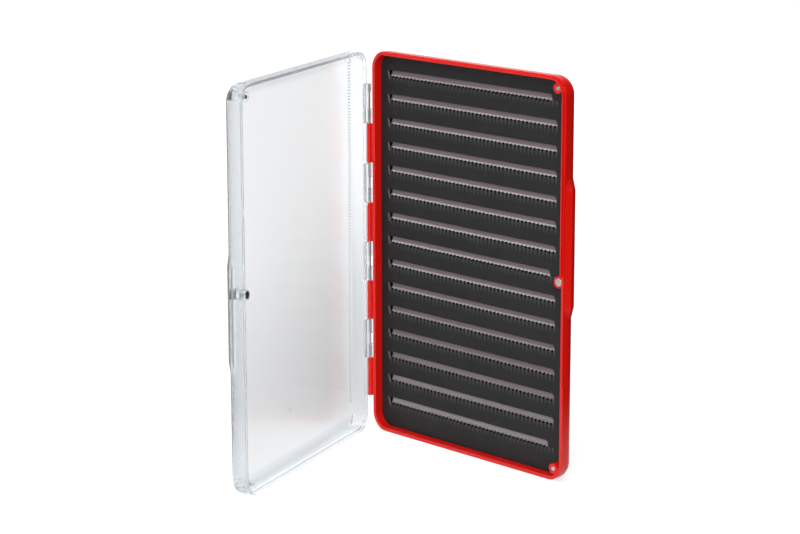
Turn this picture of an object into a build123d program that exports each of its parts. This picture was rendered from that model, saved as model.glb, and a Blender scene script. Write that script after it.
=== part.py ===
from build123d import *
import math
import os

# Slim fly box standing open on its short ends, like a book.
# The pieces are drawn with the hinge axis on the Z axis: the red tray reaches
# along +X with its open face toward -Y, and the clear lid is swung open about
# the hinge. At the end the whole is moved to stand centred on the origin.

# ---- overall sizes (mm) ----
LENGTH = 195.0
WIDTH = 130.0
TRAY_DEPTH = 8.6
LID_DEPTH = 9.6
CORNER_R = 9.0
PARTING_GAP = 0.05
OPEN_ANGLE = 69.0

# ---- mouldings ----
WALL = 1.8
FLOOR = 1.6
TRAY_BACK_ROUND = 5.2
TRAY_FOOT_ROUND = 2.5
LID_BACK_ROUND = 3.5
LID_FOOT_ROUND = 0.8

# ---- hinge ----
HINGE_OFFSET = 2.3
KNUCKLES = 8
HINGE_END_MARGIN = 16.9
KNUCKLE_GAP = 0.3
BARREL_R = 1.45
ARM_DEPTH = 2.3
KNUCKLE_END_CHAMFER = 0.3
PIN_R = 0.7
PIN_CLEARANCE = 0.05
PIN_END_SETBACK = 0.6
TOP_WINDOW = 8.8
WINDOW = 5.5

# ---- magnets and their bosses ----
CORNER_MAGNET_R = 1.1
MIDDLE_MAGNET_R = 2.0
MAGNET_DEPTH = 3.0
MAGNET_GLUE_GAP = 0.05
CORNER_BOSS_R = 2.6
MIDDLE_BOSS_R = 2.85
CORNER_INSET = 5.8
MIDDLE_INSET = 3.9
TRAY_BOSS_FACE = 0.3
LID_BOSS_FACE = 0.8
WEB_WIDTH = 3.4
WEB_STEP = 1.6

# ---- thumb lips, set high on the tray and low on the lid ----
# Their ends are heights above the middle of the box.
LIP_PROUD = 1.6
LIP_RAMP = 6.0
LIP_SUNK = 0.1
TRAY_LIP = (-18.0, 50.0)
LID_LIP = (-38.0, 19.0)

# ---- finger scallop along the tray's free side ----
SCALLOP_LENGTH = 100.0
SCALLOP_DEPTH = 0.4

# ---- locating tongue on the tray rim, rebate in the lid rim ----
TONGUE_T = 0.7
TONGUE_H = 1.2
TONGUE_SIDE_GAP = 0.3
REBATE_DEPTH = 1.35

# ---- grip ribs inside the lid beside the hinge ----
RIB_PITCH = 1.53
RIB_LOW_MARGIN = 14.0
RIB_TOP_MARGIN = 6.4
RIB_LENGTH = 2.6
RIB_WIDTH = 0.75
RIB_HEIGHT = 0.35

# ---- gate mark, a dimple in the lid floor ----
GATE_OFF_CENTRE = 6.7
GATE_HEIGHT = 27.5
GATE_R = 0.8
GATE_DEPTH = 0.25

# ---- slit foam ----
FOAM_T = 2.4
FOAM_SIDE_GAP = 0.15
FOAM_BACK_ROUND = 2.1
TAPE_T = 0.2
BOSS_CLEARANCE = 0.4
ROW_PITCH = 12.0
TOP_ROW_MARGIN = 9.6
LAST_ROW_MARGIN = 17.0
GROOVE_LEFT_INSET = 6.2
GROOVE_RIGHT_INSET = 7.5
GROOVE_SHORTER = 3.4
GROOVE_HEIGHT = 3.0
GROOVE_DEPTH = 1.7
GROOVE_LEDGE = 0.6
GROOVE_LEAN = 0.3
GROOVE_CORNER_R = 1.1
END_SLANT = 1.3
POCKET_WIDTH = 2.6
POCKET_SIDE = 0.25
POCKET_FLOOR = 0.2
SLIT_PITCH = 2.54
SLIT_MOUTH = 1.2
SLIT_DROP = 1.1
SLIT_DEPTH = 1.4

# ---- derived positions ----
X_NEAR = HINGE_OFFSET
X_FAR = HINGE_OFFSET + WIDTH
X_MID = HINGE_OFFSET + WIDTH / 2
Z_MID = LENGTH / 2
HINGE_TOP = LENGTH - HINGE_END_MARGIN
KNUCKLE_PITCH = (LENGTH - 2 * HINGE_END_MARGIN) / KNUCKLES
TONGUE_LOW = Z_MID + MIDDLE_BOSS_R + 0.25
RIB_SPAN = LENGTH - RIB_LOW_MARGIN - RIB_TOP_MARGIN
RIB_MID_Z = RIB_LOW_MARGIN + RIB_SPAN / 2
RIB_COUNT = int(RIB_SPAN / RIB_PITCH) + 1
FIRST_ROW_Z = LENGTH - TOP_ROW_MARGIN
ROWS = int((FIRST_ROW_Z - LAST_ROW_MARGIN) / ROW_PITCH) + 1
SHORT_ROWS = (0, ROWS // 2, ROWS - 1)
FOAM_BACK = TRAY_DEPTH - FLOOR - TAPE_T
FOAM_FACE = FOAM_BACK - FOAM_T
FOAM_LEFT = X_NEAR + WALL + FOAM_SIDE_GAP
FOAM_RIGHT = X_FAR - WALL - FOAM_SIDE_GAP
MAGNETS = {
    "top": (X_FAR - CORNER_INSET, LENGTH - CORNER_INSET, CORNER_MAGNET_R),
    "middle": (X_FAR - MIDDLE_INSET, Z_MID, MIDDLE_MAGNET_R),
    "bottom": (X_FAR - CORNER_INSET, CORNER_INSET, CORNER_MAGNET_R),
}


def slab(sketch, y_front, y_back):
    """A sketch drawn in XZ, made solid from y_front to y_back."""
    return extrude(Plane.XZ.offset(-y_back) * sketch, amount=y_back - y_front)


def outline(inset):
    """The rounded outline shared by tray and lid, moved inward by inset."""
    shape = RectangleRounded(WIDTH - 2 * inset, LENGTH - 2 * inset, CORNER_R - inset)
    return Pos(X_MID, Z_MID) * shape


def edges_at(solid, y):
    """The edges lying in the plane at depth y."""
    return solid.edges().filter_by_position(Axis.Y, y - 0.01, y + 0.01)


def finger_scallop(deepest, reach):
    """A shallow hollow in the free side, deepest at the rim."""
    wedge = Polyline((X_FAR - deepest, PARTING_GAP), (X_FAR, reach), (X_FAR + 1, reach),
                     (X_FAR + 1, PARTING_GAP - 1), (X_FAR - deepest, PARTING_GAP - 1), close=True)
    return extrude(Pos(0, 0, Z_MID - SCALLOP_LENGTH / 2) * make_face(wedge), amount=SCALLOP_LENGTH)


def lip_section(z, proud, root, depth, back_round):
    """The free side's profile at height z, leaning out from root to the back round."""
    root_x, root_y = root
    face_x = X_FAR + proud
    centre_x = face_x - back_round
    centre_y = depth - back_round
    slant = back_round * math.sin(math.pi / 4)
    side = Polyline((X_FAR - WALL, root_y), (root_x, root_y), (face_x, centre_y))
    bend = ThreePointArc((face_x, centre_y), (centre_x + slant, centre_y + slant), (centre_x, depth))
    inside = Polyline((centre_x, depth), (X_FAR - back_round - LIP_SUNK, depth - LIP_SUNK),
                      (X_FAR - WALL, root_y))
    section = make_face(side.edges() + bend.edges() + inside.edges())
    return Pos(0, 0, z) * section


def thumb_lip(root, depth, back_round, low, high):
    """A lip on the free side that swells out of the back round and fades at both ends."""
    heights = [low, low + LIP_RAMP, high - LIP_RAMP, high]
    swell = [-LIP_SUNK, LIP_PROUD, LIP_PROUD, -LIP_SUNK]
    sections = [lip_section(z, proud, root, depth, back_round) for z, proud in zip(heights, swell)]
    return loft(sections, ruled=True)


def bosses(depth, face):
    """Three magnet bosses rising from the floor, webbed to the free side."""
    posts = []
    for name, (x, z, magnet_r) in MAGNETS.items():
        post_r = MIDDLE_BOSS_R if name == "middle" else CORNER_BOSS_R
        reach = X_FAR - WALL / 2 - x
        posts.append(slab(Pos(x, z) * Circle(post_r), face, depth))
        web = Pos(x + reach / 2, z) * Rectangle(reach, WEB_WIDTH)
        posts.append(slab(web, face + WEB_STEP, depth))
    return posts


def shell(depth, back_round, foot_round, lip, boss_face, scallop=0):
    """One half of the box: rounded back, thumb lip, hollow and magnet bosses."""
    block = slab(outline(0), PARTING_GAP, depth)
    block = fillet(edges_at(block, depth), back_round)
    lip_root = (X_FAR - LIP_SUNK, depth - back_round - LIP_PROUD)
    if scallop:
        block -= finger_scallop(scallop, depth - back_round)
        lip_root = (X_FAR - scallop, PARTING_GAP + scallop)
    block += thumb_lip(lip_root, depth, back_round, Z_MID + lip[0], Z_MID + lip[1])
    hollow = slab(outline(WALL), -2, depth - FLOOR)
    hollow = fillet(edges_at(hollow, depth - FLOOR), foot_round)
    return block - hollow + [post & block for post in bosses(depth, boss_face)]


def magnet_pockets(face):
    """Blind pockets for the magnets, open at the boss faces."""
    pockets = []
    for x, z, magnet_r in MAGNETS.values():
        bore = Pos(x, z) * Circle(magnet_r + MAGNET_GLUE_GAP)
        pockets.append(slab(bore, -2, face + MAGNET_DEPTH))
    return pockets


def magnet(name, face):
    """A disc magnet seated on the bottom of its pocket."""
    x, z, magnet_r = MAGNETS[name]
    disc = slab(Pos(x, z) * Circle(magnet_r), face, face + MAGNET_DEPTH)
    return chamfer(edges_at(disc, face), 0.12)


def knuckle_low_z(index):
    """Lower end of a knuckle's share of the hinge, counted from the top."""
    return HINGE_TOP - (index + 1) * KNUCKLE_PITCH


def knuckle(index):
    """A barrel with an arm that runs into the side wall."""
    root_x = X_NEAR + WALL / 2
    arm = Polyline((0, PARTING_GAP), (root_x, PARTING_GAP), (root_x, ARM_DEPTH),
                   (0, BARREL_R - 0.02), close=True)
    section = Circle(BARREL_R) + make_face(arm)
    length = KNUCKLE_PITCH - KNUCKLE_GAP
    body = extrude(Pos(0, 0, knuckle_low_z(index) + KNUCKLE_GAP / 2) * section, amount=length)
    ends = body.faces().filter_by(Axis.Z).edges()
    return chamfer(ends, KNUCKLE_END_CHAMFER)


def hinge_bore(index, radius):
    """The pin hole through one knuckle."""
    return Pos(0, 0, knuckle_low_z(index) + KNUCKLE_PITCH / 2) * Cylinder(radius, KNUCKLE_PITCH)


def knuckle_window(index):
    """The moulding window that leaves the pin bare on the inner side."""
    height = TOP_WINDOW if index == 0 else WINDOW
    centre = knuckle_low_z(index) + KNUCKLE_PITCH / 2 + (1.7 if index == 0 else 0)
    return Pos(0, -BARREL_R, centre) * Box(3 * BARREL_R, 2 * BARREL_R, height)


def base_tray():
    """The red tray with its tongue, bosses and lower set of knuckles."""
    tray = shell(TRAY_DEPTH, TRAY_BACK_ROUND, TRAY_FOOT_ROUND, TRAY_LIP, TRAY_BOSS_FACE, SCALLOP_DEPTH)
    ring = outline(WALL - TONGUE_T) - outline(WALL)
    reach = X_FAR - X_NEAR - CORNER_R
    run = Pos(X_FAR - reach / 2, (TONGUE_LOW + LENGTH) / 2) * Rectangle(reach, LENGTH - TONGUE_LOW)
    tray += slab(ring & run, -TONGUE_H, PARTING_GAP + 0.2)
    tray += [knuckle(i) for i in range(1, KNUCKLES, 2)]
    tray -= magnet_pockets(TRAY_BOSS_FACE)
    for i in range(1, KNUCKLES, 2):
        clearance = 0 if i == KNUCKLES - 1 else PIN_CLEARANCE
        tray -= hinge_bore(i, PIN_R + clearance)
    return tray


def grip_ribs():
    """A row of short ridges on the lid floor along the hinge side."""
    start_x = X_NEAR + WALL + LID_FOOT_ROUND
    floor_y = LID_DEPTH - FLOOR
    ridge = Polyline((floor_y - RIB_HEIGHT, 0), (floor_y, RIB_WIDTH / 2), (floor_y + 0.2, RIB_WIDTH / 2),
                     (floor_y + 0.2, -RIB_WIDTH / 2), (floor_y, -RIB_WIDTH / 2), close=True)
    section = make_face(ridge)
    places = GridLocations(0, RIB_PITCH, 1, RIB_COUNT)
    row = Sketch() + [place * section for place in places]
    return extrude(Plane.YZ.offset(start_x) * Pos(0, RIB_MID_Z) * row, amount=RIB_LENGTH)


def gate_mark():
    """The shallow dimple left on the lid floor where the mould was filled."""
    floor_y = LID_DEPTH - FLOOR
    spot = Pos(X_MID + GATE_OFF_CENTRE, GATE_HEIGHT) * Circle(GATE_R)
    return slab(spot, floor_y - 1, floor_y + GATE_DEPTH)


def swing(solid):
    """Carry a lid piece, drawn as a mirror of the tray, to the open position."""
    closed = mirror(solid, about=Plane.XZ)
    return closed.rotate(Axis.Z, -OPEN_ANGLE)


def clear_lid():
    """The clear lid with rebated rim, bosses, windowed knuckles and ribs."""
    lid = shell(LID_DEPTH, LID_BACK_ROUND, LID_FOOT_ROUND, LID_LIP, LID_BOSS_FACE)
    lid += grip_ribs()
    lid -= gate_mark()
    rebate = outline(WALL - TONGUE_T - TONGUE_SIDE_GAP) - outline(WALL + TONGUE_SIDE_GAP)
    lid -= slab(rebate, -1, REBATE_DEPTH)
    lid += [knuckle(i) for i in range(0, KNUCKLES, 2)]
    lid -= magnet_pockets(LID_BOSS_FACE)
    for i in range(0, KNUCKLES, 2):
        lid -= hinge_bore(i, PIN_R + PIN_CLEARANCE)
        lid -= knuckle_window(i)
    return swing(lid)


def hinge_pin():
    """A straight steel pin held by the lowest tray knuckle."""
    low = knuckle_low_z(KNUCKLES - 1) + PIN_END_SETBACK
    high = HINGE_TOP - PIN_END_SETBACK
    rod = Pos(0, 0, (low + high) / 2) * Cylinder(PIN_R, high - low)
    return chamfer(rod.edges().filter_by(GeomType.CIRCLE), 0.15)


def groove_tool(row):
    """The cutters for one row: a sloped groove, its deep end and the comb of slits below it."""
    top = FIRST_ROW_Z - row * ROW_PITCH
    low = top - GROOVE_HEIGHT
    left = FOAM_LEFT + GROOVE_LEFT_INSET
    right = FOAM_RIGHT - GROOVE_RIGHT_INSET - (GROOVE_SHORTER if row in SHORT_ROWS else 0)
    front = FOAM_FACE - 0.5
    deep = FOAM_FACE + GROOVE_DEPTH
    profile = Polyline((front, top), (deep, top), (deep - GROOVE_LEAN, low + GROOVE_LEDGE),
                       (FOAM_FACE, low), (front, low), close=True)
    prism = extrude(Plane.YZ.offset(left - END_SLANT) * make_face(profile), amount=right - left + END_SLANT)
    plan = make_face(Polyline((left, low), (left - END_SLANT, top), (right, top), (right, low), close=True))
    plan = fillet(plan.vertices().group_by(Axis.Y)[-1], GROOVE_CORNER_R)
    groove = prism & slab(plan, front - 1, deep + 1)
    return [groove, end_pocket(left, low), slit_comb(left, right, low)]


def end_pocket(left, low):
    """The deep hole beside a groove's slanted end, wider at its top."""
    bottom = low + GROOVE_LEDGE
    top = low + GROOVE_HEIGHT - POCKET_SIDE
    slope = END_SLANT / GROOVE_HEIGHT
    low_x = left - slope * (bottom - low) + POCKET_SIDE
    top_x = left - slope * (top - low) + POCKET_SIDE
    plan = Polyline((low_x, bottom), (top_x, top), (top_x + POCKET_WIDTH, top),
                    (low_x + POCKET_WIDTH / 2, bottom), close=True)
    return slab(make_face(plan), FOAM_FACE + GROOVE_DEPTH / 2, FOAM_BACK - POCKET_FLOOR)


def slit_comb(left, right, low):
    """Notches along a groove's lower lip: each is widest at the lip's edge and
    runs down to a point on the foam's face."""
    ahead = 0.5
    half = SLIT_MOUTH / 2 * (SLIT_DEPTH + ahead) / SLIT_DEPTH
    notch = make_face(Polyline((-half, FOAM_FACE - ahead), (half, FOAM_FACE - ahead),
                               (0, FOAM_FACE + SLIT_DEPTH), close=True))
    count = int((right - left) / SLIT_PITCH)
    places = GridLocations(SLIT_PITCH, 0, count, 1)
    row = Sketch() + [place * notch for place in places]
    drop = GROOVE_LEDGE + SLIT_DROP
    down = Vector(0, -SLIT_DEPTH, -drop)
    plan = Pos((left + right) / 2, 0, low + GROOVE_LEDGE) * row
    return extrude(plan, amount=down.length, dir=down.normalized())


def boss_clearances(y_front, y_back):
    """Cut-outs in the foam and its tape around the magnet bosses."""
    cuts = []
    for name, (x, z, magnet_r) in MAGNETS.items():
        post_r = (MIDDLE_BOSS_R if name == "middle" else CORNER_BOSS_R) + BOSS_CLEARANCE
        cuts.append(slab(Pos(x, z) * Circle(post_r), y_front, y_back))
        shoulder = Pos(x + 5, z) * Rectangle(10, 2 * post_r)
        cuts.append(slab(shoulder, y_front, y_back))
    return cuts


def slit_foam():
    """The foam insert with its rows of grooves and slits."""
    sheet = slab(outline(WALL + FOAM_SIDE_GAP), FOAM_FACE, FOAM_BACK)
    sheet = fillet(edges_at(sheet, FOAM_BACK), FOAM_BACK_ROUND)
    sheet -= boss_clearances(FOAM_FACE - 1, FOAM_BACK + 1)
    tools = []
    for row in range(ROWS):
        tools += groove_tool(row)
    return sheet - tools


def foam_tape():
    """The thin double-sided sheet that holds the foam to the tray floor."""
    sheet = slab(outline(WALL + TRAY_FOOT_ROUND + 0.2), FOAM_BACK, FOAM_BACK + TAPE_T)
    return sheet - boss_clearances(FOAM_BACK - 1, FOAM_BACK + 1)


def main():
    """Build every piece and write one file per node."""
    os.makedirs("parts", exist_ok=True)
    pieces = {
        "base_tray": base_tray(),
        "clear_lid": clear_lid(),
        "hinge_pin": hinge_pin(),
        "slit_foam": slit_foam(),
        "foam_tape": foam_tape(),
    }
    for name in MAGNETS:
        pieces["tray_magnet_" + name] = magnet(name, TRAY_BOSS_FACE)
        pieces["lid_magnet_" + name] = swing(magnet(name, LID_BOSS_FACE))
    boxes = [solid.bounding_box() for solid in pieces.values()]
    middle_x = (min(box.min.X for box in boxes) + max(box.max.X for box in boxes)) / 2
    middle_y = (min(box.min.Y for box in boxes) + max(box.max.Y for box in boxes)) / 2
    centring = Pos(-middle_x, -middle_y, 0)
    print("hinge axis at", centring.position)
    for node, solid in pieces.items():
        placed = centring * solid
        export_step(placed, "parts/" + node + ".step")
        print(node, round(placed.volume, 1), "mm3", len(placed.solids()), "solid")


main()
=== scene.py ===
# %% [markdown]
# # A slim fly box, standing open like a book
#
# A fly box keeps fishing flies. This one is a shallow red tray with a sheet of
# slit foam, a clear lid, a long knuckle hinge on a steel pin, and small disc
# magnets that hold it shut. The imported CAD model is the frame: its pieces keep
# their places and sizes here, and this lesson gives them their finish. Only the
# foam is modelled again, because its soft comb of slits needs finer work.

# %% Load the frame
import math

import bmesh
import bpy
from mathutils import Matrix, Vector


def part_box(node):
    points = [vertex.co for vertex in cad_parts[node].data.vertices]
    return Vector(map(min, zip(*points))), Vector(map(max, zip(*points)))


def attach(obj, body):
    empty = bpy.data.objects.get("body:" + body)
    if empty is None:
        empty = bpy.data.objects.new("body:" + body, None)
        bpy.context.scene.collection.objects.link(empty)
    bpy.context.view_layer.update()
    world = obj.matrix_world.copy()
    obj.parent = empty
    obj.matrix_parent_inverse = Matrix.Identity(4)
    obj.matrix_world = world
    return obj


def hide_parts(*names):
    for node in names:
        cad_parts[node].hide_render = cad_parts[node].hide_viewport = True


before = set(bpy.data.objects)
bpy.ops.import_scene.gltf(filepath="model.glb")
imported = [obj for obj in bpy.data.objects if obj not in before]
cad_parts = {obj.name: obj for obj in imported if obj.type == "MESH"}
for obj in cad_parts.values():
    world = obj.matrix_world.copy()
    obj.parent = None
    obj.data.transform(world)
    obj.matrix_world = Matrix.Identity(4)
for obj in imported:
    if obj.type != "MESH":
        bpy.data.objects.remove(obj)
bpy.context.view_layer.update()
bpy.ops.object.select_all(action='DESELECT')
MM = 0.001

# %% [markdown]
# ## The camera
#
# The camera stands off to the right and a little above, with a long lens. It is
# made first, because every later look is judged through it. A camera looks down
# its own -Z axis, so it is turned until that axis points at the target.

# %% Place the camera
CAMERA_AZIMUTH = math.radians(45.93)
CAMERA_ELEVATION = math.radians(12.886)
CAMERA_ROLL = math.radians(-0.1)
CAMERA_DISTANCE = 1.2418
CAMERA_LENS = 111.83
SENSOR_WIDTH = 36.0
CAMERA_TARGET = Vector((-0.04135, 0.05941, 0.08770))

out_x = math.sin(CAMERA_AZIMUTH) * math.cos(CAMERA_ELEVATION)
out_y = -math.cos(CAMERA_AZIMUTH) * math.cos(CAMERA_ELEVATION)
out = Vector((out_x, out_y, math.sin(CAMERA_ELEVATION)))
bpy.ops.object.camera_add(location=CAMERA_TARGET + out * CAMERA_DISTANCE)
camera = bpy.context.object
camera.name = "camera"
aimed = (-out).to_track_quat('-Z', 'Y')
rolled = Matrix.Rotation(CAMERA_ROLL, 3, 'Z').to_quaternion()
camera.rotation_euler = (aimed @ rolled).to_euler()
camera.data.lens = CAMERA_LENS
camera.data.sensor_width = SENSOR_WIDTH
bpy.context.scene.camera = camera
print("camera at", [round(v, 3) for v in camera.location])

# %% [markdown]
# ## Small helpers for modelling
#
# The foam is cut the way a tool shop would cut it: a blank, and cutters taken
# out of it with the Boolean modifier. These helpers add a block at its real
# place, pick edges or corners by where they lie, and carve one mesh with
# another.

# %% Modelling helpers
TINY = 0.02 * MM


def block(name, low, high):
    """A box between two corners, with its place in its mesh."""
    centre = [(a + b) / 2 for a, b in zip(low, high)]
    size = [b - a for a, b in zip(low, high)]
    bpy.ops.mesh.primitive_cube_add(size=1, location=centre, scale=size)
    made = bpy.context.object
    made.name = name
    bpy.ops.object.transform_apply(location=True, rotation=True, scale=True)
    return made


def pick_vertices(piece, wanted):
    """Go into edit mode with just the vertices selected that wanted(co) takes."""
    bpy.context.view_layer.objects.active = piece
    bpy.ops.object.mode_set(mode='EDIT')
    bpy.ops.mesh.select_mode(type='VERT')
    bpy.ops.mesh.select_all(action='DESELECT')
    mesh = bmesh.from_edit_mesh(piece.data)
    for vertex in mesh.verts:
        vertex.select = wanted(vertex.co)
    mesh.select_flush_mode()
    bmesh.update_edit_mesh(piece.data)


def pick_edges(piece, wanted):
    """Go into edit mode with just the edges selected whose two ends wanted(a, b) takes."""
    bpy.context.view_layer.objects.active = piece
    bpy.ops.object.mode_set(mode='EDIT')
    bpy.ops.mesh.select_mode(type='EDGE')
    bpy.ops.mesh.select_all(action='DESELECT')
    mesh = bmesh.from_edit_mesh(piece.data)
    for edge in mesh.edges:
        edge.select = wanted(edge.verts[0].co, edge.verts[1].co)
    mesh.select_flush_mode()
    bmesh.update_edit_mesh(piece.data)


def leave_edit():
    """Back to object mode with nothing selected."""
    bpy.ops.object.mode_set(mode='OBJECT')
    bpy.ops.object.select_all(action='DESELECT')


def carve(piece, cutter):
    """Take the cutter out of the piece and throw the cutter away."""
    cut = piece.modifiers.new("cut", 'BOOLEAN')
    cut.operation = 'DIFFERENCE'
    cut.solver = 'EXACT'
    cut.object = cutter
    bpy.context.view_layer.objects.active = piece
    bpy.ops.object.modifier_apply(modifier=cut.name)
    bpy.data.objects.remove(cutter)


def joined(parts, name):
    """Several meshes as one, with their modifiers and places applied."""
    bpy.ops.object.select_all(action='DESELECT')
    for part in parts:
        part.select_set(True)
    bpy.context.view_layer.objects.active = parts[0]
    bpy.ops.object.convert(target='MESH')
    bpy.ops.object.join()
    bpy.ops.object.transform_apply(location=True, rotation=True, scale=True)
    whole = bpy.context.object
    whole.name = name
    bpy.ops.object.select_all(action='DESELECT')
    return whole


# %% [markdown]
# ## The foam blank
#
# The foam is a sheet of closed-cell foam that fills the tray. Its box comes from
# the CAD node that it stands for. A cube is added at that size, its four upright
# corners are rounded like the tray's, and its back edge is rounded to sit in the
# tray's own fillet. Then three pieces are cut away to clear the magnet bosses.

# %% Foam sheet
FOAM_CORNER_R = 7.05 * MM
FOAM_BACK_R = 2.1 * MM
foam_low, foam_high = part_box("slit_foam")
foam = block("foam_insert", foam_low, foam_high)
FACE_Y = foam_low.y
BACK_Y = foam_high.y


def along_depth(a, b):
    return abs(a.y - b.y) > TINY


pick_edges(foam, along_depth)
bpy.ops.mesh.bevel(offset=FOAM_CORNER_R, segments=8, affect='EDGES')
leave_edit()
pick_edges(foam, lambda a, b: min(a.y, b.y) > BACK_Y - TINY)
bpy.ops.mesh.bevel(offset=FOAM_BACK_R, segments=3, affect='EDGES')
leave_edit()
print("foam blank, mm:", [round(v / MM, 1) for v in foam.dimensions])

# %% Clearances for the bosses
CLEARANCE = 0.4 * MM
CORNER_BOSS_R = 2.6 * MM + CLEARANCE
MIDDLE_BOSS_R = 2.85 * MM + CLEARANCE
POST_LENGTH = 8 * MM
SHOULDER_REACH = 8 * MM
SHOULDER_HALF_DEPTH = 4.4 * MM


def boss_cutter(magnet, radius):
    """A round clearance about one magnet, run out to the sheet's free edge."""
    low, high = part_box(magnet)
    centre = (low + high) / 2
    bpy.ops.mesh.primitive_cylinder_add(vertices=40, radius=radius, depth=POST_LENGTH,
                                        location=(centre.x, FACE_Y, centre.z),
                                        rotation=(math.pi / 2, 0, 0))
    post = bpy.context.object
    shoulder = block("shoulder",
                     (centre.x, FACE_Y - SHOULDER_HALF_DEPTH, centre.z - radius),
                     (centre.x + SHOULDER_REACH, FACE_Y + SHOULDER_HALF_DEPTH, centre.z + radius))
    return post, shoulder


for magnet, radius in (("tray_magnet_top", CORNER_BOSS_R),
                       ("tray_magnet_middle", MIDDLE_BOSS_R),
                       ("tray_magnet_bottom", CORNER_BOSS_R)):
    for cutter in boss_cutter(magnet, radius):
        carve(foam, cutter)
print("foam after the boss clearances:", len(foam.data.polygons), "faces")

# %% [markdown]
# ## The rows of grooves
#
# Each row is a shallow groove: a floor that leans back as it rises, and a short
# ledge that slopes out to the lip. The rows beside the bosses are shorter. So
# one function shapes the cutter from a block at its row's own length, and all
# fifteen are joined and taken out of the sheet at once.

# %% Groove cutters
ROWS = 15
ROW_PITCH = 12.0 * MM
FIRST_ROW_DROP = 7.65 * MM
SHORT_ROWS = (0, ROWS // 2, ROWS - 1)
GROOVE_LEFT_INSET = 6.2 * MM
GROOVE_RIGHT_INSET = 7.5 * MM
GROOVE_SHORTER = 3.4 * MM
GROOVE_HEIGHT = 3.0 * MM
GROOVE_DEPTH = 1.7 * MM
GROOVE_LEDGE = 0.55 * MM
GROOVE_LEAN = 0.3 * MM
GROOVE_CORNER_R = 1.7 * MM
AHEAD = 0.6 * MM


def row_ends(row):
    """Left end, right end and lower lip of a row."""
    left = foam_low.x + GROOVE_LEFT_INSET
    right = foam_high.x - GROOVE_RIGHT_INSET - (GROOVE_SHORTER if row in SHORT_ROWS else 0)
    lip = foam_high.z - FIRST_ROW_DROP - row * ROW_PITCH - GROOVE_HEIGHT
    return left, right, lip


def groove_cutter(row):
    """One groove: straight top, leaning floor, sloped lower ledge."""
    left, right, lip = row_ends(row)
    top = lip + GROOVE_HEIGHT
    deep = FACE_Y + GROOVE_DEPTH
    made = block("groove", (left, FACE_Y - AHEAD, lip), (right, deep, top))
    pick_vertices(made, lambda co: True)
    bpy.ops.mesh.bisect(plane_co=(left, deep, lip + GROOVE_LEDGE), plane_no=(0, 0, 1))
    leave_edit()
    pick_vertices(made, lambda co: co.y > deep - TINY and abs(co.z - lip - GROOVE_LEDGE) < TINY)
    bpy.ops.transform.translate(value=(0, -GROOVE_LEAN, 0))
    leave_edit()
    pick_vertices(made, lambda co: co.y > FACE_Y and abs(co.z - lip) < TINY)
    bpy.ops.transform.translate(value=(0, FACE_Y - deep, 0))
    leave_edit()
    pick_edges(made, lambda a, b: min(a.z, b.z) > top - TINY and abs(a.y - b.y) > TINY)
    bpy.ops.mesh.bevel(offset=GROOVE_CORNER_R, segments=4, affect='EDGES')
    leave_edit()
    return made


grooves = joined([groove_cutter(row) for row in range(ROWS)], "grooves")
carve(foam, grooves)
print("foam after the grooves:", len(foam.data.polygons), "faces")

# %% [markdown]
# At the hinge side each groove ends in a slanted knife cut. It leans out toward
# the top, runs on a little below the lip, and goes almost through the sheet, so
# it shows one pale wall and a black depth. Its corners are placed from the lip's
# left end, as seen from the front: X along the lip, Z up.

# %% Slanted cuts at the hinge side
END_FRONT = ((-0.95, -1.8), (0.65, -1.8), (1.60, 2.7), (-1.95, 2.7))
END_BACK = ((-0.95, -1.8), (-0.50, -1.8), (0.15, 2.7), (-1.95, 2.7))
QUARTERS = ((-1, -1), (1, -1), (1, 1), (-1, 1))
END_MIDDLE = -0.7 * MM
END_FLOOR = 0.2 * MM
END_HALF = 1.0 * MM


def end_cutter(row):
    """One slanted end: a block whose eight corners are moved to their places."""
    left, _, lip = row_ends(row)
    middle = left + END_MIDDLE
    front, back = FACE_Y - AHEAD, BACK_Y - END_FLOOR
    made = block("end", (middle - END_HALF, front, lip - END_HALF),
                 (middle + END_HALF, back, lip + END_HALF))
    for depth, corners in ((front, END_FRONT), (back, END_BACK)):
        for (across, up), (x, z) in zip(QUARTERS, corners):
            pick_vertices(made, lambda co: abs(co.y - depth) < TINY
                          and (co.x - middle) * across > 0 and (co.z - lip) * up > 0)
            bpy.ops.transform.translate(value=(left + x * MM - middle - across * END_HALF, 0,
                                               z * MM - up * END_HALF))
            leave_edit()
    return made


carve(foam, joined([end_cutter(row) for row in range(ROWS)], "ends"))
print("foam after the slanted ends:", len(foam.data.polygons), "faces")

# %% [markdown]
# ## The comb of slits
#
# Under each groove the foam is slit every tenth of an inch. A slit starts in a
# small round notch at the lip, where the hook's wire is pressed in, and runs
# down as a fine cut that closes. Both cutters are made once at the origin. Each
# row takes a copy with its own mesh, and an Array modifier repeats it along the
# row. The two end values are shares of the slit's width and depth at the top.

# %% Slit and notch cutters
SLIT_PITCH = 2.54 * MM
SLIT_HALF_WIDTH = 0.16 * MM
SLIT_DEEP = 0.6 * MM
SLIT_DROP = 5.0 * MM
SLIT_END_WIDTH = 0.3
SLIT_END_DEPTH = 0.2
NOTCH_R = 0.68 * MM
NOTCH_DROP = 0.36 * MM
NOTCH_DEEP = 1.5 * MM


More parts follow.
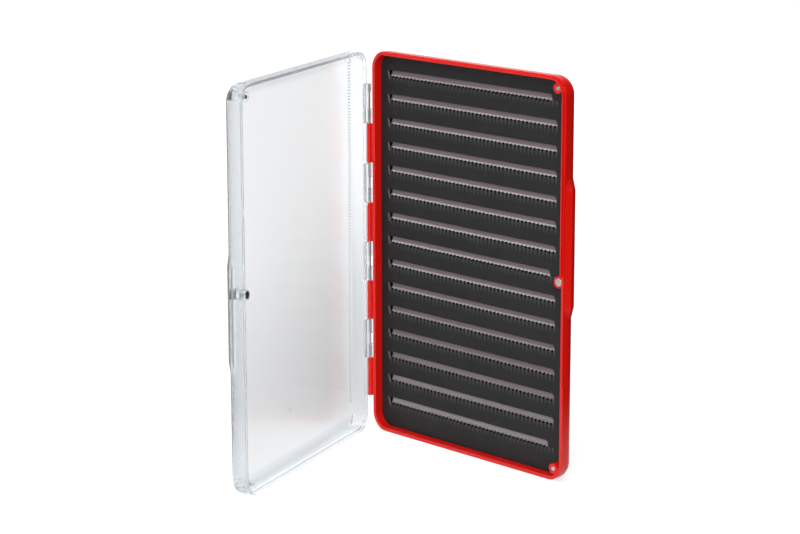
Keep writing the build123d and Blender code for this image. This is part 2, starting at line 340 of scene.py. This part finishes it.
def slit_cutter():
    """One fine cut below the lip: three-sided, open at the face, closing downwards."""
    made = block("slit", (-SLIT_HALF_WIDTH, -AHEAD, -SLIT_DROP), (SLIT_HALF_WIDTH, SLIT_DEEP, 0))
    pick_vertices(made, lambda co: co.y > 0)
    bpy.ops.transform.resize(value=(0.0, 1, 1), center_override=(0, 0, 0))
    bpy.ops.mesh.remove_doubles(threshold=TINY)
    leave_edit()
    pick_vertices(made, lambda co: co.z < -SLIT_DROP + TINY)
    bpy.ops.transform.resize(value=(SLIT_END_WIDTH, 1, 1), center_override=(0, 0, 0))
    leave_edit()
    pick_vertices(made, lambda co: co.z < -SLIT_DROP + TINY and co.y > 0)
    bpy.ops.transform.resize(value=(1, SLIT_END_DEPTH, 1), center_override=(0, 0, 0))
    leave_edit()
    return made


def notch_cutter():
    """The round notch at the head of a slit."""
    bpy.ops.mesh.primitive_cylinder_add(vertices=8, radius=NOTCH_R, depth=NOTCH_DEEP + AHEAD,
                                        location=(0, (NOTCH_DEEP - AHEAD) / 2, -NOTCH_DROP),
                                        rotation=(math.pi / 2, math.pi / 8, 0))
    made = bpy.context.object
    bpy.ops.object.transform_apply(location=True, rotation=True, scale=True)
    return made


def comb_cutter(pattern, row):
    """A cutter repeated along one row."""
    left, right, lip = row_ends(row)
    count = int((right - left) / SLIT_PITCH)
    comb = pattern.copy()
    comb.data = pattern.data.copy()
    bpy.context.collection.objects.link(comb)
    comb.location = ((left + right - (count - 1) * SLIT_PITCH) / 2, FACE_Y, lip)
    repeat = comb.modifiers.new("repeat", 'ARRAY')
    repeat.count = count
    repeat.use_relative_offset = False
    repeat.use_constant_offset = True
    repeat.constant_offset_displace = (SLIT_PITCH, 0, 0)
    return comb


for pattern in (slit_cutter(), notch_cutter()):
    combs = joined([comb_cutter(pattern, row) for row in range(ROWS)], "combs")
    print(pattern.name, "cutters:", len(combs.data.polygons) // len(pattern.data.polygons))
    bpy.data.objects.remove(pattern)
    carve(foam, combs)
print("foam after the combs:", len(foam.data.polygons), "faces")

# %% Finish the foam piece
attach(foam, "tray")
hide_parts("slit_foam")

# %% [markdown]
# ## Materials: shared effects
#
# Moulded plastic is never perfectly even. Its colour clouds a little, its gloss
# wanders, and fine rub marks cross it. These effects are built once as node
# groups with named inputs, and each material places them with its own values.

# %% Node helpers
def put(tree, kind, **values):
    """Add a node and set its properties, or its inputs by name."""
    node = tree.nodes.new(kind)
    for name, value in values.items():
        if hasattr(node, name):
            setattr(node, name, value)
        else:
            node.inputs[name.replace("_", " ")].default_value = value
    return node


def feed(tree, value, socket):
    """Link a socket to another node's output, or set it to a plain number or colour."""
    if isinstance(value, bpy.types.NodeSocket):
        tree.links.new(value, socket)
    elif isinstance(value, tuple):
        socket.default_value = (*value, 1)
    else:
        socket.default_value = value


def calc(tree, operation, first, second):
    """One Math node on two masks or numbers."""
    node = put(tree, 'ShaderNodeMath', operation=operation)
    feed(tree, first, node.inputs[0])
    feed(tree, second, node.inputs[1])
    return node.outputs[0]


def laid_over(tree, below_colour, colour, share):
    """One colour laid over another by a share."""
    mix = put(tree, 'ShaderNodeMix', data_type='RGBA')
    tree.links.new(share, mix.inputs['Factor'])
    feed(tree, below_colour, mix.inputs['A'])
    feed(tree, colour, mix.inputs['B'])
    return mix.outputs['Result']


def new_group(name, inputs, outputs):
    """An empty node group with float inputs and the outputs asked for."""
    group = bpy.data.node_groups.new(name, 'ShaderNodeTree')
    for label, value in inputs.items():
        socket = group.interface.new_socket(label, in_out='INPUT', socket_type='NodeSocketFloat')
        socket.default_value = value
    for label, kind in outputs.items():
        group.interface.new_socket(label, in_out='OUTPUT', socket_type=kind)
    return group, group.nodes.new('NodeGroupInput'), group.nodes.new('NodeGroupOutput')


def place_group(tree, group, **values):
    """Place a node group in a material with its own values."""
    node = tree.nodes.new('ShaderNodeGroup')
    node.node_tree = group
    for name, value in values.items():
        node.inputs[name.replace("_", " ")].default_value = value
    return node


def new_material(name):
    """A material, its node tree and its Principled shader."""
    material = bpy.data.materials.new(name)
    material.use_nodes = True
    return material, material.node_tree, material.node_tree.nodes["Principled BSDF"]


# %% Moulded surface group
GRAIN_STEP = 0.0001
moulded, group_in, group_out = new_group(
    "moulded_surface",
    {"Cloud Scale": 25.0, "Grain Scale": 900.0, "Grain Depth": 0.1, "Gloss": 0.25,
     "Gloss Spread": 0.06},
    {"Cloud": 'NodeSocketFloat', "Roughness": 'NodeSocketFloat', "Normal": 'NodeSocketVector'})
place = put(moulded, 'ShaderNodeTexCoord')
cloud = put(moulded, 'ShaderNodeTexNoise', Detail=3.0, Roughness=0.55)
moulded.links.new(place.outputs['Object'], cloud.inputs['Vector'])
moulded.links.new(group_in.outputs['Cloud Scale'], cloud.inputs['Scale'])
moulded.links.new(cloud.outputs['Fac'], group_out.inputs['Cloud'])
grain = put(moulded, 'ShaderNodeTexNoise', Detail=2.0, Roughness=0.5)
moulded.links.new(place.outputs['Object'], grain.inputs['Vector'])
moulded.links.new(group_in.outputs['Grain Scale'], grain.inputs['Scale'])
bump = put(moulded, 'ShaderNodeBump', Distance=GRAIN_STEP)
moulded.links.new(group_in.outputs['Grain Depth'], bump.inputs['Strength'])
moulded.links.new(grain.outputs['Fac'], bump.inputs['Height'])
moulded.links.new(bump.outputs['Normal'], group_out.inputs['Normal'])
centred = calc(moulded, 'SUBTRACT', cloud.outputs['Fac'], 0.5)
spread = calc(moulded, 'MULTIPLY', centred, group_in.outputs['Gloss Spread'])
gloss = calc(moulded, 'ADD', spread, group_in.outputs['Gloss'])
moulded.links.new(gloss, group_out.inputs['Roughness'])
print("moulded surface group:", len(moulded.nodes), "nodes")

# %% [markdown]
# ## Red plastic
#
# The tray is moulded in solid red ABS with a bright, slightly waxy gloss. The
# colour clouds by a few percent, and the gloss wanders with it. Metal and tape
# take the same helper later with other values.

# %% Red plastic
RED_DEEP = (0.77, 0.006, 0.003)
RED_BRIGHT = (0.85, 0.010, 0.004)
RED_IOR = 1.53
RED_SHINE = 0.38


def moulded_finish(name, shade, colour, **effects):
    """A material that clouds between two colours, with the group's gloss and grain."""
    stuff, tree, shader = new_material(name)
    surface = place_group(tree, moulded, **effects)
    tree.links.new(laid_over(tree, shade, colour, surface.outputs['Cloud']),
                   shader.inputs['Base Color'])
    tree.links.new(surface.outputs['Roughness'], shader.inputs['Roughness'])
    tree.links.new(surface.outputs['Normal'], shader.inputs['Normal'])
    return stuff, shader


red, red_shader = moulded_finish("red_plastic", RED_DEEP, RED_BRIGHT, Cloud_Scale=18.0,
                                 Grain_Scale=1500.0, Grain_Depth=0.12, Gloss=0.20,
                                 Gloss_Spread=0.10)
red_shader.inputs['IOR'].default_value = RED_IOR
red_shader.inputs['Specular IOR Level'].default_value = RED_SHINE
print("red plastic from", RED_DEEP, "to", RED_BRIGHT)

# %% [markdown]
# ## Clear plastic
#
# The lid is clear and hard. It bends light as glass does, and where it is seen
# edge-on its colour is painted a cool blue grey, a painted reflection of the dark
# room that lines its edges and corners. Its flat sheet was moulded against a
# softer tool face, so gloss there is satin, and the row of grip ribs near the
# hinge is painted dark grey, as painted shade. A Mapping node turns the pattern's
# axes to the lid's own: X runs from the hinge, Y out of the open face, Z up. Masks
# of place are then smooth steps along those axes, multiplied together.

# %% Places on the lid
HINGE_X = -63.392 * MM
HINGE_Y = 59.413 * MM
LID_OPEN = math.radians(69)
LID_FLOOR = 8.0 * MM
LID_WIDTH = 132.3 * MM
LID_HEIGHT = 195.0 * MM
SHEET_START = 4 * MM
SHEET_FULL = 9 * MM
RIB_START = 4.9 * MM
RIB_LENGTH = 2.6 * MM
RIB_TOP = 0.35 * MM


def ramp(tree, source, start, end):
    """A smooth step of one value, 0 at start and 1 at end."""
    step = put(tree, 'ShaderNodeMapRange', interpolation_type='SMOOTHSTEP')
    step.inputs['From Min'].default_value = start
    step.inputs['From Max'].default_value = end
    tree.links.new(source, step.inputs['Value'])
    return step.outputs['Result']


def times(tree, *masks):
    """Several masks multiplied together."""
    product = masks[0]
    for mask in masks[1:]:
        product = calc(tree, 'MULTIPLY', product, mask)
    return product


def level_between(tree, source, low, high):
    """A level that goes from one value or socket to another as a mask goes from 0 to 1."""
    level = put(tree, 'ShaderNodeMapRange')
    tree.links.new(source, level.inputs['Value'])
    feed(tree, low, level.inputs['To Min'])
    feed(tree, high, level.inputs['To Max'])
    return level.outputs['Result']


# %% Clear plastic
clear, clear_tree, clear_shader = new_material("clear_plastic")
clear_surface = place_group(clear_tree, moulded, Cloud_Scale=14.0, Grain_Scale=160.0,
                            Grain_Depth=0.006, Gloss=0.03, Gloss_Spread=0.03)
clear_place = put(clear_tree, 'ShaderNodeTexCoord')
to_lid = put(clear_tree, 'ShaderNodeMapping', vector_type='TEXTURE')
to_lid.inputs['Location'].default_value = (HINGE_X, HINGE_Y, 0)
to_lid.inputs['Rotation'].default_value = (0, 0, -LID_OPEN)
clear_tree.links.new(clear_place.outputs['Object'], to_lid.inputs['Vector'])
lid_axes = put(clear_tree, 'ShaderNodeSeparateXYZ')
clear_tree.links.new(to_lid.outputs['Vector'], lid_axes.inputs['Vector'])
lid_x, lid_y, lid_z = (lid_axes.outputs[axis] for axis in 'XYZ')
sheet_mask = times(
    clear_tree,
    ramp(clear_tree, lid_y, -LID_FLOOR + 1.0 * MM, -LID_FLOOR + 0.4 * MM),
    ramp(clear_tree, lid_x, SHEET_START, SHEET_FULL),
    ramp(clear_tree, lid_x, LID_WIDTH - SHEET_START, LID_WIDTH - SHEET_FULL),
    ramp(clear_tree, lid_z, SHEET_START, SHEET_FULL),
    ramp(clear_tree, lid_z, LID_HEIGHT - SHEET_START, LID_HEIGHT - SHEET_FULL))
rib_mask = times(
    clear_tree,
    ramp(clear_tree, lid_y, -LID_FLOOR + 0.02 * MM, -LID_FLOOR + 0.06 * MM),
    ramp(clear_tree, lid_y, -LID_FLOOR + RIB_TOP + 0.3 * MM, -LID_FLOOR + RIB_TOP + 0.1 * MM),
    ramp(clear_tree, lid_x, RIB_START - 0.2 * MM, RIB_START),
    ramp(clear_tree, lid_x, RIB_START + RIB_LENGTH + 0.2 * MM, RIB_START + RIB_LENGTH))

# %% Its colour and gloss
WALL_COLOURS = (0.90, 0.925, 0.945), (0.935, 0.955, 0.965)
PAINTED_EDGE_COLOUR = (0.30, 0.38, 0.50)
SHEET_COLOUR = (0.975, 0.985, 0.995)
RIB_PAINTED_SHADE = (0.26, 0.28, 0.30)
SHEET_SATIN = 0.17
WALL_SHINE = 0.5
SHEET_SHINE = 0.12
CLEAR_IOR = 1.49
# Painted reflection: where the lid is seen edge-on its colour goes to a dark blue grey.
grazing = put(clear_tree, 'ShaderNodeLayerWeight', Blend=0.5)
edge_share = ramp(clear_tree, grazing.outputs['Facing'], 0.80, 0.98)
clear_colour = laid_over(clear_tree, *WALL_COLOURS, clear_surface.outputs['Cloud'])
clear_colour = laid_over(clear_tree, clear_colour, PAINTED_EDGE_COLOUR, edge_share)
clear_colour = laid_over(clear_tree, clear_colour, SHEET_COLOUR, sheet_mask)
# Painted shade: the grip ribs are coloured dark grey.
clear_colour = laid_over(clear_tree, clear_colour, RIB_PAINTED_SHADE, rib_mask)
clear_tree.links.new(clear_colour, clear_shader.inputs['Base Color'])
satin = calc(clear_tree, 'MULTIPLY', sheet_mask, SHEET_SATIN)
clear_tree.links.new(calc(clear_tree, 'ADD', satin, clear_surface.outputs['Roughness']),
                     clear_shader.inputs['Roughness'])
clear_tree.links.new(level_between(clear_tree, sheet_mask, WALL_SHINE, SHEET_SHINE),
                     clear_shader.inputs['Specular IOR Level'])
clear_tree.links.new(clear_surface.outputs['Normal'], clear_shader.inputs['Normal'])
clear_shader.inputs['Transmission Weight'].default_value = 1.0
clear_shader.inputs['IOR'].default_value = CLEAR_IOR

# %% [markdown]
# Lamp rays pass straight through the lid as if it were not there. Without that
# switch Cycles would give clear plastic a board's dark shadow. The walls also let
# a quarter of all light straight through, because light caught inside them would
# otherwise end black after a few bounces, which the real plastic never shows.

# %% Straight light through the clear plastic
WALL_STRAIGHT = 0.26
STRAIGHT_COLOUR = (0.92, 0.95, 0.975, 1)
thin = put(clear_tree, 'ShaderNodeBsdfTransparent', Color=STRAIGHT_COLOUR)
lamp_path = put(clear_tree, 'ShaderNodeLightPath')
wall_share = level_between(clear_tree, sheet_mask, WALL_STRAIGHT, 0.0)
straight_share = calc(clear_tree, 'MAXIMUM', wall_share, lamp_path.outputs['Is Shadow Ray'])
straight_mix = put(clear_tree, 'ShaderNodeMixShader')
clear_tree.links.new(straight_share, straight_mix.inputs['Fac'])
clear_tree.links.new(clear_shader.outputs['BSDF'], straight_mix.inputs[1])
clear_tree.links.new(thin.outputs['BSDF'], straight_mix.inputs[2])
clear_tree.links.new(straight_mix.outputs['Shader'],
                     clear_tree.nodes['Material Output'].inputs['Surface'])
print("clear plastic:", len(clear_tree.nodes), "nodes")

# %% [markdown]
# ## Foam
#
# The sheet's skin is charcoal and nearly matt, with fine cells. The knife opens
# other faces: the groove floors are a mauve grey, painted lighter in the lower
# rows as a painted reflection of the white floor. The ledges that face up and the
# slanted ends' walls that face right are painted pale, as painted highlights, and
# the notches, slits and the depth of the ends are painted black, as painted shade.
# The faces are told apart by their depth behind the skin, by the side they face,
# and by their height above the lip, which repeats with the rows.

# %% Where a point of the foam lies
foam_stuff, foam_tree, foam_shader = new_material("foam")
foam_place = put(foam_tree, 'ShaderNodeTexCoord')
foam_axes = put(foam_tree, 'ShaderNodeSeparateXYZ')
foam_tree.links.new(foam_place.outputs['Object'], foam_axes.inputs['Vector'])
foam_x, foam_y, foam_z = (foam_axes.outputs[axis] for axis in 'XYZ')
foam_facing = put(foam_tree, 'ShaderNodeNewGeometry')
facing_axes = put(foam_tree, 'ShaderNodeSeparateXYZ')
foam_tree.links.new(foam_facing.outputs['Normal'], facing_axes.inputs['Vector'])
above_last_lip = calc(foam_tree, 'SUBTRACT', foam_z, row_ends(ROWS)[2])
height = calc(foam_tree, 'MODULO', above_last_lip, ROW_PITCH)
behind = ramp(foam_tree, foam_y, FACE_Y + 0.08 * MM, FACE_Y + 0.3 * MM)
between_grooves = ramp(foam_tree, height, GROOVE_HEIGHT, GROOVE_HEIGHT + 0.1 * MM)
row_left, row_right, _ = row_ends(1)

# %% Grooves, notches and ends
in_groove = ramp(foam_tree, height, GROOVE_HEIGHT + 0.1 * MM, GROOVE_HEIGHT - 0.02 * MM)
floor_share = times(foam_tree, behind, in_groove)
# Painted reflection: the groove floors grow lighter toward the bottom rows, for the white floor in
# front of them.
low_floor_reflection_share = times(foam_tree, floor_share, ramp(foam_tree, foam_z, 55 * MM, 8 * MM))
# Painted highlight: ledges that face up are painted pale, more in the upper rows, for the light
# falling on them from above.
ledge_highlight_share = times(foam_tree, in_groove, ramp(foam_tree, facing_axes.outputs['Z'], 0.35, 0.7),
                    ramp(foam_tree, foam_z, 15 * MM, 110 * MM))
# Painted shade: the notches and slits, the depth past the groove floors and the depth of the
# slanted ends are painted near black for the dark inside these hollows.
notch_shade_share = times(foam_tree, behind, between_grooves)
depth_shade_share = ramp(foam_tree, foam_y, FACE_Y + GROOVE_DEPTH + 0.05 * MM,
                   FACE_Y + GROOVE_DEPTH + 0.3 * MM)
at_end = ramp(foam_tree, foam_x, row_left + 0.3 * MM, row_left - 0.2 * MM)
end_dark = times(foam_tree, behind, at_end)
# Painted highlight: the end's wall that faces right, toward the key light, is painted pale down to
# about 1.2 to 1.6 mm deep.
end_highlight_share = times(foam_tree, end_dark, ramp(foam_tree, facing_axes.outputs['X'], 0.4, 0.8),
                  ramp(foam_tree, foam_y, FACE_Y + 1.6 * MM, FACE_Y + 1.2 * MM))

# %% Painted highlight on the teeth between the slits
SLITS_BEFORE = 50
slit_count = int((row_right - row_left) / SLIT_PITCH)
first_slit = (row_left + row_right - (slit_count - 1) * SLIT_PITCH) / 2
past_slit = calc(foam_tree, 'SUBTRACT', foam_x, first_slit - SLITS_BEFORE * SLIT_PITCH)
across_tooth = calc(foam_tree, 'PINGPONG', past_slit, SLIT_PITCH / 2)
# Painted highlight: the tops of the teeth between the slits are painted lighter, fading downwards,
# where they catch the light.
tooth_highlight_share = times(foam_tree, between_grooves,
                    ramp(foam_tree, height, ROW_PITCH - 4.5 * MM, ROW_PITCH + 0.5 * MM),
                    ramp(foam_tree, across_tooth, 0.15 * MM, 1.1 * MM),
                    ramp(foam_tree, foam_x, row_left - 0.4 * MM, row_left),
                    ramp(foam_tree, foam_x, row_right + 0.4 * MM, row_right))
print(slit_count, "slits in a full row")

# %% Foam colours
SKIN_COLOURS = (0.015, 0.015, 0.0155), (0.023, 0.0225, 0.0225)
blotch = put(foam_tree, 'ShaderNodeTexNoise', Scale=45.0, Detail=4.0)
foam_tree.links.new(foam_place.outputs['Object'], blotch.inputs['Vector'])
foam_colour = laid_over(foam_tree, *SKIN_COLOURS, blotch.outputs['Fac'])
for colour, share in (((0.066, 0.070, 0.068), tooth_highlight_share),
                      ((0.205, 0.158, 0.172), floor_share),
                      ((0.340, 0.310, 0.335), low_floor_reflection_share),
                      ((0.620, 0.590, 0.580), ledge_highlight_share),
                      ((0.004, 0.004, 0.004), notch_shade_share),
                      ((0.003, 0.002, 0.002), depth_shade_share),
                      ((0.003, 0.002, 0.002), end_dark),
                      ((0.200, 0.228, 0.215), end_highlight_share)):
    foam_colour = laid_over(foam_tree, foam_colour, colour, share)
foam_tree.links.new(foam_colour, foam_shader.inputs['Base Color'])

# %% Foam cells and gloss
SKIN_ROUGH = 0.62
CUT_ROUGH = 0.42
FOAM_SHINE = 0.2
cells = put(foam_tree, 'ShaderNodeTexVoronoi', Scale=2600.0)
foam_tree.links.new(foam_place.outputs['Object'], cells.inputs['Vector'])
cell_bump = put(foam_tree, 'ShaderNodeBump', Distance=0.00008, Strength=0.5)
foam_tree.links.new(cells.outputs['Distance'], cell_bump.inputs['Height'])
foam_tree.links.new(cell_bump.outputs['Normal'], foam_shader.inputs['Normal'])
foam_tree.links.new(level_between(foam_tree, floor_share, SKIN_ROUGH, CUT_ROUGH),
                    foam_shader.inputs['Roughness'])
foam_shader.inputs['Specular IOR Level'].default_value = FOAM_SHINE
print("foam:", len(foam_tree.nodes), "nodes")

# %% [markdown]
# ## Metals and tape
#
# The pin is drawn steel wire and the magnets are nickel plated. Both take the
# moulded group's gentle wander in gloss, which reads as handling on metal. The
# tape under the foam is a plain off-white.

# %% Metals and tape
def metal(name, shade, colour, rough):
    """A metal with slightly uneven gloss."""
    stuff, shader = moulded_finish(name, shade, colour, Cloud_Scale=400.0, Grain_Scale=4000.0,
                                   Grain_Depth=0.1, Gloss=rough, Gloss_Spread=0.2)
    shader.inputs['Metallic'].default_value = 1.0
    return stuff


pin_steel = metal("pin_steel", (0.45, 0.45, 0.46), (0.55, 0.55, 0.56), 0.3)
magnet_nickel = metal("magnet_nickel", (0.34, 0.36, 0.33), (0.62, 0.64, 0.60), 0.22)
tape, _ = moulded_finish("tape", (0.70, 0.69, 0.66), (0.80, 0.79, 0.76), Cloud_Scale=60.0,
                         Grain_Scale=800.0, Grain_Depth=0.3, Gloss=0.6, Gloss_Spread=0.1)

# %% Give every piece its material
FINISHES = {"base_tray": red, "clear_lid": clear, "hinge_pin": pin_steel, "foam_tape": tape,
            "slit_foam": foam_stuff}
for half in ("tray", "lid"):
    for spot in ("top", "middle", "bottom"):
        FINISHES[f"{half}_magnet_{spot}"] = magnet_nickel
for node, finish in FINISHES.items():
    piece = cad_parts[node]
    if not piece.material_slots:
        piece.data.materials.append(finish)
    piece.material_slots[0].material = finish
foam.data.materials.clear()
foam.data.materials.append(foam_stuff)
print(len(FINISHES), "pieces have their material")

# %% [markdown]
# ## Floor, lamps and world
#
# The box stands on a plain white floor in soft light: one softbox overhead and
# one behind the camera. The room around it is white, but for light and gloss it
# falls away to a dark studio on the right, which keeps the red side deep, and
# for the clear lid it falls away in front. Light Path tells the rays apart, so
# the white that the eye sees adds no light to the object.

# %% The parts of the room that fall away to dark
TO_RIGHT = Vector((math.cos(CAMERA_AZIMUTH), math.sin(CAMERA_AZIMUTH), 0))
TO_FRONT = Vector((math.sin(CAMERA_AZIMUTH), -math.cos(CAMERA_AZIMUTH), 0))
FRONT_DARK = 0.62


def how_far(tree, place, axis):
    """How far a point or a direction reaches along an axis."""
    along = put(tree, 'ShaderNodeVectorMath', operation='DOT_PRODUCT')
    tree.links.new(place, along.inputs[0])
    along.inputs[1].default_value = axis
    return along.outputs['Value']


def dark_share(tree, path, place, right, front):
    """How dark the room is: light and gloss lose the right side, clear pieces the front."""
    through = path.outputs['Is Transmission Ray']
    direct = calc(tree, 'MAXIMUM', path.outputs['Is Camera Ray'], through)
    light = calc(tree, 'SUBTRACT', 1.0, direct)
    light_dark = times(tree, light, ramp(tree, how_far(tree, place, TO_RIGHT), *right))
    through_dark = times(tree, through, FRONT_DARK,
                         ramp(tree, how_far(tree, place, TO_FRONT), *front))
    return calc(tree, 'MAXIMUM', light_dark, through_dark)


def seen_ray(tree, path, eye_level, through_level):
    """What the eye and gloss see, and what clear pieces let through, with 0 for light itself.

    A ray that a clear piece bends counts as gloss too, so gloss is counted without it.
    """
    through = path.outputs['Is Transmission Ray']
    gloss = calc(tree, 'SUBTRACT', path.outputs['Is Glossy Ray'], through)
    eye = calc(tree, 'MAXIMUM', path.outputs['Is Camera Ray'], gloss)
    return calc(tree, 'MAXIMUM', times(tree, eye, eye_level), times(tree, through, through_level))


# %% Floor
FLOOR_SIZE = 12.0
FLOOR_GREY = 0.60
FLOOR_ROUGH = 0.8
bpy.ops.mesh.primitive_plane_add(size=FLOOR_SIZE, location=(0, 0, 0))
floor = bpy.context.object
floor.name = "floor"
floor_paint, floor_tree, floor_shader = new_material("floor_paint")
floor_shader.inputs['Base Color'].default_value = (FLOOR_GREY, FLOOR_GREY, FLOOR_GREY, 1)
floor_shader.inputs['Roughness'].default_value = FLOOR_ROUGH
floor_shader.inputs['Specular IOR Level'].default_value = 0.0

# %% [markdown]
# The eye sees the floor lifted to plain white. Through the lid the lift is
# smaller near the box and least in a soft pool behind the hinge: a painted shadow
# of the box on the floor. This painted shade gives the clear sheet its grey
# gradient.

# %% How bright the floor looks through the lid
EYE_NEAR_GLOW = 0.62
EYE_FAR_GLOW = 0.80
NEAR_GLOW = 0.37
FAR_GLOW = 0.74
SHADOW_POOL_GLOW = 0.21
floor_place = put(floor_tree, 'ShaderNodeTexCoord').outputs['Object']
floor_right = how_far(floor_tree, floor_place, TO_RIGHT)
floor_front = how_far(floor_tree, floor_place, TO_FRONT)
# Painted shadow: a soft pool behind the hinge, where the floor seen through the lid is lifted
# least.
painted_shadow_pool = times(floor_tree, ramp(floor_tree, floor_right, -0.078, -0.012),
                  ramp(floor_tree, floor_right, 0.14, 0.06),
                  ramp(floor_tree, floor_front, -0.05, -0.17),
                  ramp(floor_tree, floor_front, -1.10, -0.25))
floor_reach = put(floor_tree, 'ShaderNodeVectorMath', operation='LENGTH')
floor_tree.links.new(floor_place, floor_reach.inputs[0])
far_away = ramp(floor_tree, floor_reach.outputs['Value'], 0.2, 0.9)
eye_glow = level_between(floor_tree, far_away, EYE_NEAR_GLOW, EYE_FAR_GLOW)
open_glow = level_between(floor_tree, ramp(floor_tree, floor_front, -0.05, -0.60),
                          NEAR_GLOW, FAR_GLOW)
through_glow = level_between(floor_tree, painted_shadow_pool, open_glow, SHADOW_POOL_GLOW)

# %% What the floor shows to each kind of ray
DARK_FLOOR_GLOW = 0.03
floor_path = put(floor_tree, 'ShaderNodeLightPath')
floor_dark = dark_share(floor_tree, floor_path, floor_place, right=(0.10, 0.24), front=(0.05, 0.5))
floor_glow = put(floor_tree, 'ShaderNodeEmission')
floor_tree.links.new(seen_ray(floor_tree, floor_path, eye_glow, through_glow),
                     floor_glow.inputs['Strength'])
floor_sum = put(floor_tree, 'ShaderNodeAddShader')
floor_tree.links.new(floor_shader.outputs['BSDF'], floor_sum.inputs[0])
floor_tree.links.new(floor_glow.outputs['Emission'], floor_sum.inputs[1])
floor_black = put(floor_tree, 'ShaderNodeEmission', Strength=DARK_FLOOR_GLOW)
floor_mix = put(floor_tree, 'ShaderNodeMixShader')
floor_tree.links.new(floor_dark, floor_mix.inputs['Fac'])
floor_tree.links.new(floor_sum.outputs['Shader'], floor_mix.inputs[1])
floor_tree.links.new(floor_black.outputs['Emission'], floor_mix.inputs[2])
floor_tree.links.new(floor_mix.outputs['Shader'],
                     floor_tree.nodes['Material Output'].inputs['Surface'])
floor.data.materials.append(floor_paint)

# %% Lamps
BOX_MIDDLE = (0, 0, 0.1)


def softbox(name, place, size, power):
    """A square area lamp pointed at the middle of the box."""
    bpy.ops.object.light_add(type='AREA', location=place)
    lamp = bpy.context.object
    lamp.name = name
    lamp.data.shape = 'SQUARE'
    lamp.data.size = size
    lamp.data.energy = power
    lamp.rotation_euler = (Vector(BOX_MIDDLE) - Vector(place)).to_track_quat('-Z', 'Y').to_euler()
    print(name, "softbox:", power, "W")


softbox("overhead", place=(0.0, 0.0, 1.3), size=1.4, power=5.0)
softbox("key", place=(1.05, -1.05, 0.8), size=0.8, power=11.5)

# %% World
LIGHT_LEVEL = 0.65
EYE_LEVEL = 1.0
THROUGH_LEVEL = 1.16
DARK_LEVEL = 0.05
world = bpy.data.worlds.new("studio")
bpy.context.scene.world = world
world.use_nodes = True
world_tree = world.node_tree
sky = world_tree.nodes['Background']
sky.inputs['Color'].default_value = (1, 1, 1, 1)
world_path = put(world_tree, 'ShaderNodeLightPath')
world_way = put(world_tree, 'ShaderNodeTexCoord').outputs['Generated']
world_dark = dark_share(world_tree, world_path, world_way, right=(0.2, 0.75), front=(0.0, 0.8))
world_seen = seen_ray(world_tree, world_path, EYE_LEVEL, THROUGH_LEVEL)
world_level = calc(world_tree, 'MAXIMUM', world_seen, LIGHT_LEVEL)
world_tree.links.new(level_between(world_tree, world_dark, world_level, DARK_LEVEL),
                     sky.inputs['Strength'])
bpy.context.scene.view_settings.view_transform = 'Standard'
